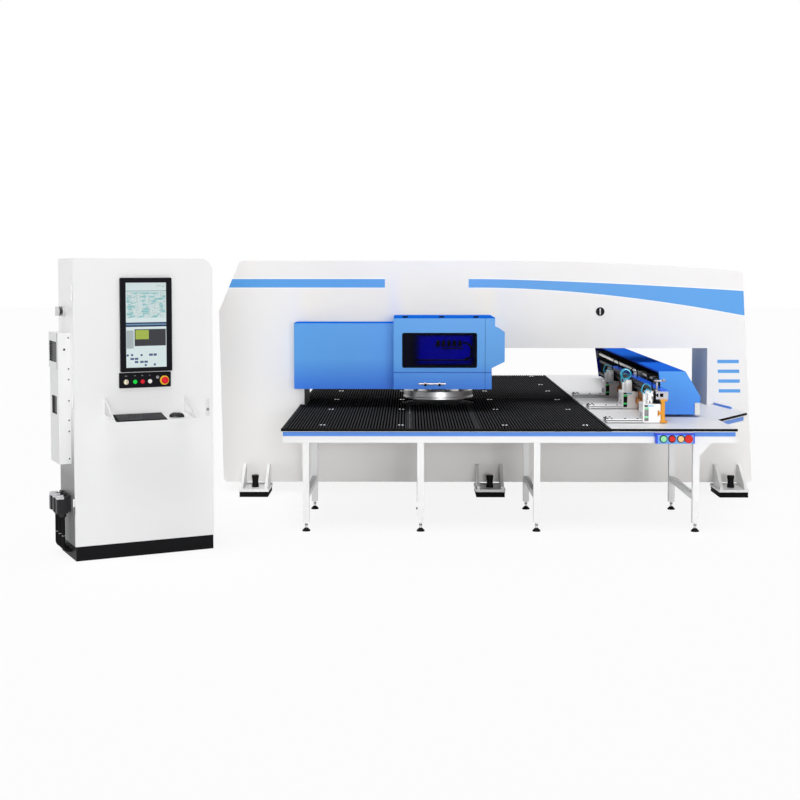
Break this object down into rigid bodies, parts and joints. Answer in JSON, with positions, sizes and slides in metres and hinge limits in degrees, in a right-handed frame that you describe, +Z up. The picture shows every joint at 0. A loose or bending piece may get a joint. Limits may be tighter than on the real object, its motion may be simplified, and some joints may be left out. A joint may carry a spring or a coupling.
{
  "type": "cnc turret punch press",
  "caption": "Turret punch press with an O-shaped frame, hooded tool turret, brush table, cross beam with sheet clamps and a free-standing control cabinet.",
  "frame": {"origin": "on the floor, under the middle of the whole machine's bounding box", "axes": "+X runs along the O-shaped frame to the operator's right, +Y through its window away from the operator, +Z up"},
  "size_m": [6.2643, 7.0954, 2.32],
  "materials": {
    "frame_white": "satin white machine enamel",
    "hood_blue": "satin blue enamel",
    "strip_blue": "satin blue enamel",
    "tinted_pane": "dark blue tinted polycarbonate",
    "black_rubber": "matt black rubber",
    "black_steel": "blackened steel",
    "bright_steel": "ground and polished steel",
    "grey_cast": "painted grey iron",
    "brush_black": "black nylon bristles",
    "table_steel": "smooth plated sheet steel",
    "orange_paint": "orange enamel",
    "black_alloy": "black anodised aluminium",
    "clamp_white": "white enamel",
    "cyan_hose": "cyan polyurethane hose",
    "black_plastic": "moulded black plastic",
    "green_plastic": "glossy green cap",
    "red_plastic": "glossy red cap",
    "yellow_plastic": "glossy yellow cap",
    "white_plastic": "glossy white cap",
    "silver_metal": "bright metal"
  },
  "bodies": {
    "root": {"press_frame": "frame_white", "frame_feet": "frame_white", "foot_pads": "black_rubber", "jack_bolts": "black_steel", "hood_side_cover": "hood_blue", "hood_turret_cover": "hood_blue", "turret_housings": "grey_cast", "table_frames": "frame_white", "levelling_feet": "black_steel", "brush_plates": "brush_black", "steel_plates": "table_steel", "edge_strips": "strip_blue", "table_bolts": "bright_steel", "button_box": "strip_blue", "cross_rails": "bright_steel", "cabinet_shell": "frame_white", "cabinet_plinth": "black_steel", "cooling_unit": "frame_white", "plug_connectors": "grey_cast", "connector_cables": "black_rubber"},
    "hood_door": {"hood_door": "hood_blue", "hood_window": "tinted_pane"},
    "upper_turret": {"upper_turret": "bright_steel", "punches": "bright_steel"},
    "lower_turret": {"lower_turret": "bright_steel", "dies": "bright_steel"},
    "ram": {"ram": "bright_steel"},
    "cross_beam": {"beam_housing": "hood_blue", "beam_rails": "bright_steel", "beam_saddles": "grey_cast", "screw_drive": "black_steel"},
    "ball_screw": {"ball_screw": "bright_steel"},
    "carriage": {"carriage_beam": "orange_paint", "carriage_extrusion": "black_alloy", "carriage_strip": "strip_blue", "carriage_slides": "bright_steel", "air_hose": "cyan_hose"},
    "clamp_1": {"clamp_body_1": "clamp_white"},
    "clamp_2": {"clamp_body_2": "clamp_white"},
    "clamp_3": {"clamp_body_3": "clamp_white"},
    "jaw_1": {"clamp_jaw_1": "clamp_white"},
    "jaw_2": {"clamp_jaw_2": "clamp_white"},
    "jaw_3": {"clamp_jaw_3": "clamp_white"},
    "cabinet_door": {"cabinet_door": "frame_white", "monitor": "black_plastic", "control_panel": "black_plastic", "keyboard_tray": "frame_white", "keyboard": "black_plastic", "mouse": "black_plastic"},
    "panel_green": {"panel_button_green": "green_plastic"},
    "panel_red": {"panel_button_red": "red_plastic"},
    "panel_white": {"panel_button_white": "white_plastic"},
    "panel_stop": {"panel_stop_button": "red_plastic"},
    "panel_selector": {"panel_selector": "silver_metal"},
    "panel_key": {"panel_key": "silver_metal"},
    "isolator": {"isolator_handle": "black_plastic"},
    "station_green": {"station_button_green": "green_plastic"},
    "station_red": {"station_button_red": "red_plastic"},
    "station_yellow": {"station_button_yellow": "yellow_plastic"},
    "station_stop": {"station_stop_button": "red_plastic"}
  },
  "joints": [
    {"name": "hood_door_swing", "type": "hinge", "parent": "root", "child": "hood_door", "pos_m": [-0.28757, -0.86029, 1.783], "axis": [-1, 0, 0], "range_deg": [0, 85]},
    {"name": "upper_turret_spin", "type": "hinge", "parent": "root", "child": "upper_turret", "pos_m": [0.00243, 0.24771, 1], "axis": [0, 0, 1], "continuous": true},
    {"name": "lower_turret_spin", "type": "hinge", "parent": "root", "child": "lower_turret", "pos_m": [0.00243, 0.24771, 0.8], "axis": [0, 0, 1], "continuous": true},
    {"name": "ram_stroke", "type": "slide", "parent": "root", "child": "ram", "axis": [0, 0, -1], "range_m": [0, 0.03], "stiffness_N_per_m": 20000, "springref_m": -0.005},
    {"name": "beam_travel", "type": "slide", "parent": "root", "child": "cross_beam", "axis": [-1, 0, 0], "range_m": [0, 1]},
    {"name": "carriage_travel", "type": "slide", "parent": "cross_beam", "child": "carriage", "axis": [0, 1, 0], "range_m": [-0.15, 2.35]},
    {"name": "screw_spin", "type": "hinge", "parent": "cross_beam", "child": "ball_screw", "pos_m": [2.04243, 0.24771, 1.185], "axis": [0, 1, 0], "continuous": true},
    {"name": "clamp_1_slide", "type": "slide", "parent": "carriage", "child": "clamp_1", "axis": [0, 1, 0], "range_m": [0, 0.4]},
    {"name": "jaw_1_open", "type": "hinge", "parent": "clamp_1", "child": "jaw_1", "pos_m": [1.81643, -1.62729, 0.938], "axis": [0, 1, 0], "range_deg": [0, 2.5]},
    {"name": "clamp_2_slide", "type": "slide", "parent": "carriage", "child": "clamp_2", "axis": [0, 1, 0], "range_m": [-0.3, 0.3]},
    {"name": "jaw_2_open", "type": "hinge", "parent": "clamp_2", "child": "jaw_2", "pos_m": [1.81643, -0.45229, 0.938], "axis": [0, 1, 0], "range_deg": [0, 2.5]},
    {"name": "clamp_3_slide", "type": "slide", "parent": "carriage", "child": "clamp_3", "axis": [0, 1, 0], "range_m": [-0.4, 0]},
    {"name": "jaw_3_open", "type": "hinge", "parent": "clamp_3", "child": "jaw_3", "pos_m": [1.81643, 0.72771, 0.938], "axis": [0, 1, 0], "range_deg": [0, 2.5]},
    {"name": "cabinet_door_swing", "type": "hinge", "parent": "root", "child": "cabinet_door", "pos_m": [-2.85579, -3.35551, 1.2], "axis": [0, 0, -1], "range_deg": [0, 100]},
    {"name": "panel_green_press", "type": "slide", "parent": "cabinet_door", "child": "panel_green", "axis": [-0.454, 0.891, 0], "range_m": [0, 0.004], "stiffness_N_per_m": 400, "springref_m": -0.001},
    {"name": "panel_red_press", "type": "slide", "parent": "cabinet_door", "child": "panel_red", "axis": [-0.454, 0.891, 0], "range_m": [0, 0.004], "stiffness_N_per_m": 400, "springref_m": -0.001},
    {"name": "panel_white_press", "type": "slide", "parent": "cabinet_door", "child": "panel_white", "axis": [-0.454, 0.891, 0], "range_m": [0, 0.004], "stiffness_N_per_m": 400, "springref_m": -0.001},
    {"name": "panel_stop_press", "type": "slide", "parent": "cabinet_door", "child": "panel_stop", "axis": [-0.454, 0.891, 0], "range_m": [0, 0.005], "stiffness_N_per_m": 400, "springref_m": -0.001},
    {"name": "panel_selector_turn", "type": "hinge", "parent": "cabinet_door", "child": "panel_selector", "pos_m": [-2.48179, -3.19524, 1.366], "axis": [-0.454, 0.891, 0], "range_deg": [-45, 45]},
    {"name": "panel_key_turn", "type": "hinge", "parent": "cabinet_door", "child": "panel_key", "pos_m": [-2.25903, -3.08175, 1.396], "axis": [-0.454, 0.891, 0], "range_deg": [0, 90]},
    {"name": "isolator_turn", "type": "hinge", "parent": "root", "child": "isolator", "pos_m": [-2.97351, -3.10685, 1.912], "axis": [0.891, 0.454, 0], "range_deg": [0, 90]},
    {"name": "station_green_press", "type": "slide", "parent": "root", "child": "station_green", "axis": [0, 1, 0], "range_m": [0, 0.004], "stiffness_N_per_m": 400, "springref_m": -0.001},
    {"name": "station_red_press", "type": "slide", "parent": "root", "child": "station_red", "axis": [0, 1, 0], "range_m": [0, 0.004], "stiffness_N_per_m": 400, "springref_m": -0.001},
    {"name": "station_yellow_press", "type": "slide", "parent": "root", "child": "station_yellow", "axis": [0, 1, 0], "range_m": [0, 0.004], "stiffness_N_per_m": 400, "springref_m": -0.001},
    {"name": "station_stop_press", "type": "slide", "parent": "root", "child": "station_stop", "axis": [0, 1, 0], "range_m": [0, 0.005], "stiffness_N_per_m": 400, "springref_m": -0.001}
  ],
  "couplings": [
    {"joint": "lower_turret_spin", "follows": "upper_turret_spin", "ratio": 1},
    {"joint": "screw_spin", "follows": "carriage_travel", "rad_per_m": 125.66}
  ]
}
